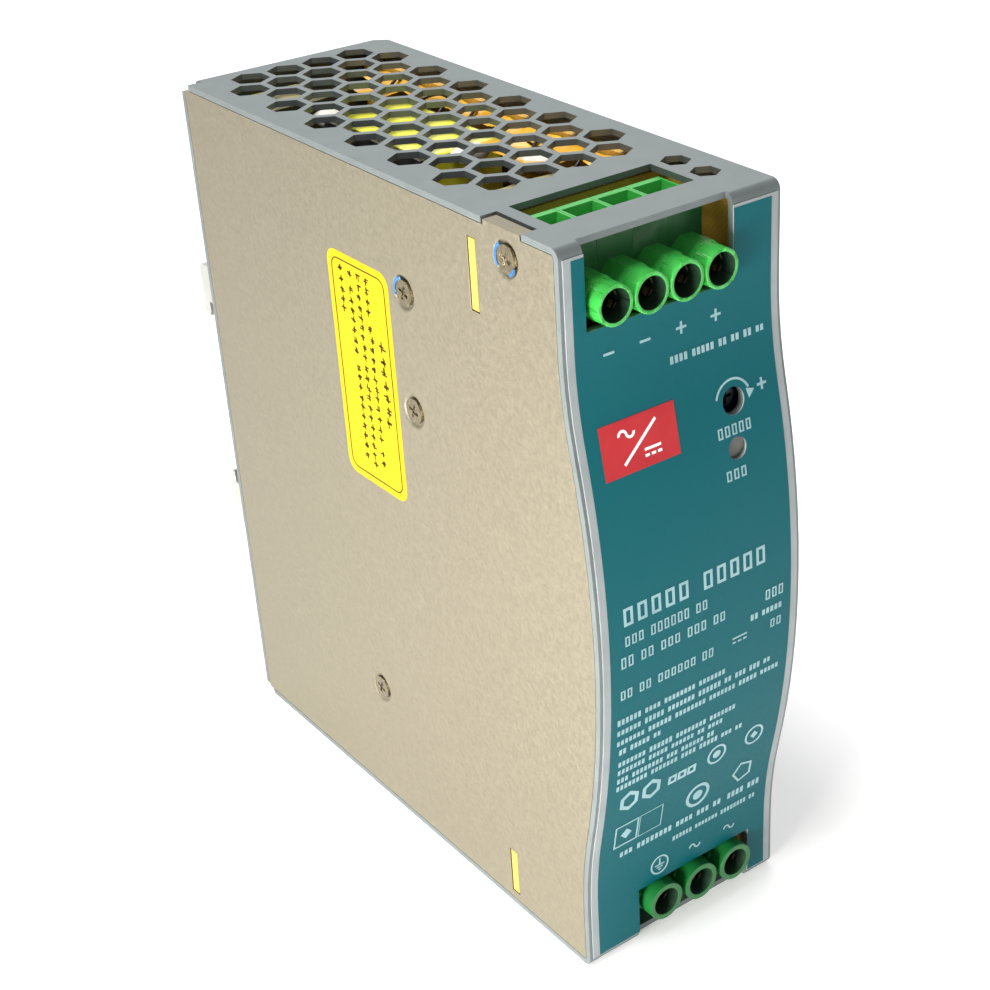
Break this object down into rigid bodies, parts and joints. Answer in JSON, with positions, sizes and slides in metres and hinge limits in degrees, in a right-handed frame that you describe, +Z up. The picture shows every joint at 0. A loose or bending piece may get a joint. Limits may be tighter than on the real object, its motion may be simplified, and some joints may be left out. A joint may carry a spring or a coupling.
{
  "type": "din rail power supply",
  "caption": "Slim upright sheet-metal DIN rail power supply with a bulged front, screw terminals above and below, honeycomb vents and a sprung rail latch.",
  "frame": {"origin": "middle of the bounding box at the bottom plate, on which the case stands", "axes": "+Z up along the height, -Y out of the front, +Y to the rail, +X to the right wall"},
  "size_m": [0.04, 0.1168, 0.1252],
  "materials": {
    "case_metal": "satin, blue-grey galvanized look",
    "cover_metal": "satin, fine grain, warm silver",
    "front_label": "printed film, teal with a light border",
    "side_label": "printed film",
    "insulation": "thin film",
    "screw_steel": "nickel plated",
    "dark_steel": "zinc plated",
    "thermal_pad": "soft pad",
    "clip_steel": "zinc plated",
    "spring_steel": "plain",
    "board": "glass-fibre board",
    "contact_brass": "tinned",
    "trimmer_blue": "moulded",
    "white_plastic": "moulded",
    "led": "clear green lens",
    "light_pipe": "milky",
    "ferrite": "sintered",
    "yellow_tape": "polyester tape",
    "capacitor_sleeve": "shrink sleeve",
    "film_yellow": "moulded box",
    "fuse_white": "ceramic tube with metal caps",
    "ferrite_green": "coated ring",
    "ferrite_yellow": "coated ring",
    "copper_wire": "enamelled copper",
    "heatsink_aluminium": "plain",
    "black_epoxy": "moulded",
    "ceramic_blue": "coated",
    "terminal_green": "moulded, bright green",
    "terminal_dark_green": "moulded, green",
    "clamp_steel": "nickel plated"
  },
  "bodies": {
    "case": {"case_body": "case_metal", "side_cover": "cover_metal", "front_label": "front_label", "side_label": "side_label", "insulation_sheet": "insulation", "cover_screw": "screw_steel", "heatsink_screws": "screw_steel", "thermal_pads": "thermal_pad", "rail_bracket": "clip_steel", "bracket_screws": "dark_steel", "latch_rivets": "dark_steel", "latch_spring": "spring_steel", "main_board": "board", "front_board": "board", "board_spacers": "spring_steel", "board_screws": "screw_steel", "terminal_pins": "contact_brass", "trimmer_body": "trimmer_blue", "indicator_led": "led", "light_pipe": "light_pipe", "transformer_core": "ferrite", "transformer_bobbin": "white_plastic", "transformer_winding": "yellow_tape", "bulk_capacitor": "capacitor_sleeve", "output_capacitors": "capacitor_sleeve", "x_capacitor": "film_yellow", "fuse": "fuse_white", "choke_core": "ferrite_green", "choke_windings": "copper_wire", "inductor_core": "ferrite_yellow", "inductor_winding": "copper_wire", "secondary_heatsink": "heatsink_aluminium", "primary_heatsink": "heatsink_aluminium", "output_diodes": "black_epoxy", "switching_transistor": "black_epoxy", "bridge_rectifier": "black_epoxy", "small_components": "ceramic_blue", "output_terminal_1": "terminal_green", "output_terminal_2": "terminal_green", "output_terminal_3": "terminal_green", "output_terminal_4": "terminal_green", "input_terminal_1": "terminal_dark_green", "input_terminal_2": "terminal_dark_green", "input_terminal_3": "terminal_dark_green"},
    "latch": {"rail_latch": "clip_steel"},
    "trimmer": {"trimmer_rotor": "white_plastic"},
    "output_screw_1": {"output_screw_1": "screw_steel"},
    "output_clamp_1": {"output_clamp_1": "clamp_steel"},
    "output_screw_2": {"output_screw_2": "screw_steel"},
    "output_clamp_2": {"output_clamp_2": "clamp_steel"},
    "output_screw_3": {"output_screw_3": "screw_steel"},
    "output_clamp_3": {"output_clamp_3": "clamp_steel"},
    "output_screw_4": {"output_screw_4": "screw_steel"},
    "output_clamp_4": {"output_clamp_4": "clamp_steel"},
    "input_screw_1": {"input_screw_1": "screw_steel"},
    "input_clamp_1": {"input_clamp_1": "clamp_steel"},
    "input_screw_2": {"input_screw_2": "screw_steel"},
    "input_clamp_2": {"input_clamp_2": "clamp_steel"},
    "input_screw_3": {"input_screw_3": "screw_steel"},
    "input_clamp_3": {"input_clamp_3": "clamp_steel"}
  },
  "joints": [
    {"name": "latch_slide", "type": "slide", "parent": "case", "child": "latch", "axis": [0, 0, -1], "range_m": [0, 0.005], "stiffness_N_per_m": 1500, "springref_m": -0.002, "deforming": ["latch_spring"]},
    {"name": "trimmer_turn", "type": "hinge", "parent": "case", "child": "trimmer", "pos_m": [0.0092, -0.0497, 0.0944], "axis": [0, -1, 0], "range_deg": [-135, 135]},
    {"name": "output_screw_1_turn", "type": "hinge", "parent": "case", "child": "output_screw_1", "pos_m": [-0.0121, -0.0412, 0.1157], "axis": [0, 0, -1], "range_deg": [0, 1445]},
    {"name": "output_clamp_1_lift", "type": "slide", "parent": "case", "child": "output_clamp_1", "axis": [0, 0, 1], "range_m": [0, 0.0016]},
    {"name": "output_screw_2_turn", "type": "hinge", "parent": "case", "child": "output_screw_2", "pos_m": [-0.0057, -0.0412, 0.1157], "axis": [0, 0, -1], "range_deg": [0, 1445]},
    {"name": "output_clamp_2_lift", "type": "slide", "parent": "case", "child": "output_clamp_2", "axis": [0, 0, 1], "range_m": [0, 0.0016]},
    {"name": "output_screw_3_turn", "type": "hinge", "parent": "case", "child": "output_screw_3", "pos_m": [0.0007, -0.0412, 0.1157], "axis": [0, 0, -1], "range_deg": [0, 1445]},
    {"name": "output_clamp_3_lift", "type": "slide", "parent": "case", "child": "output_clamp_3", "axis": [0, 0, 1], "range_m": [0, 0.0016]},
    {"name": "output_screw_4_turn", "type": "hinge", "parent": "case", "child": "output_screw_4", "pos_m": [0.0071, -0.0412, 0.1157], "axis": [0, 0, -1], "range_deg": [0, 1445]},
    {"name": "output_clamp_4_lift", "type": "slide", "parent": "case", "child": "output_clamp_4", "axis": [0, 0, 1], "range_m": [0, 0.0016]},
    {"name": "input_screw_1_turn", "type": "hinge", "parent": "case", "child": "input_screw_1", "pos_m": [-0.00522, -0.0412, 0.007], "axis": [0, 0, 1], "range_deg": [0, 1445]},
    {"name": "input_clamp_1_lift", "type": "slide", "parent": "case", "child": "input_clamp_1", "axis": [0, 0, -1], "range_m": [0, 0.0016]},
    {"name": "input_screw_2_turn", "type": "hinge", "parent": "case", "child": "input_screw_2", "pos_m": [0.0024, -0.0412, 0.007], "axis": [0, 0, 1], "range_deg": [0, 1445]},
    {"name": "input_clamp_2_lift", "type": "slide", "parent": "case", "child": "input_clamp_2", "axis": [0, 0, -1], "range_m": [0, 0.0016]},
    {"name": "input_screw_3_turn", "type": "hinge", "parent": "case", "child": "input_screw_3", "pos_m": [0.01002, -0.0412, 0.007], "axis": [0, 0, 1], "range_deg": [0, 1445]},
    {"name": "input_clamp_3_lift", "type": "slide", "parent": "case", "child": "input_clamp_3", "axis": [0, 0, -1], "range_m": [0, 0.0016]}
  ],
  "couplings": [
    {"joint": "output_screw_1_turn", "follows": "output_clamp_1_lift", "rad_per_m": 15708},
    {"joint": "output_screw_2_turn", "follows": "output_clamp_2_lift", "rad_per_m": 15708},
    {"joint": "output_screw_3_turn", "follows": "output_clamp_3_lift", "rad_per_m": 15708},
    {"joint": "output_screw_4_turn", "follows": "output_clamp_4_lift", "rad_per_m": 15708},
    {"joint": "input_screw_1_turn", "follows": "input_clamp_1_lift", "rad_per_m": 15708},
    {"joint": "input_screw_2_turn", "follows": "input_clamp_2_lift", "rad_per_m": 15708},
    {"joint": "input_screw_3_turn", "follows": "input_clamp_3_lift", "rad_per_m": 15708}
  ]
}
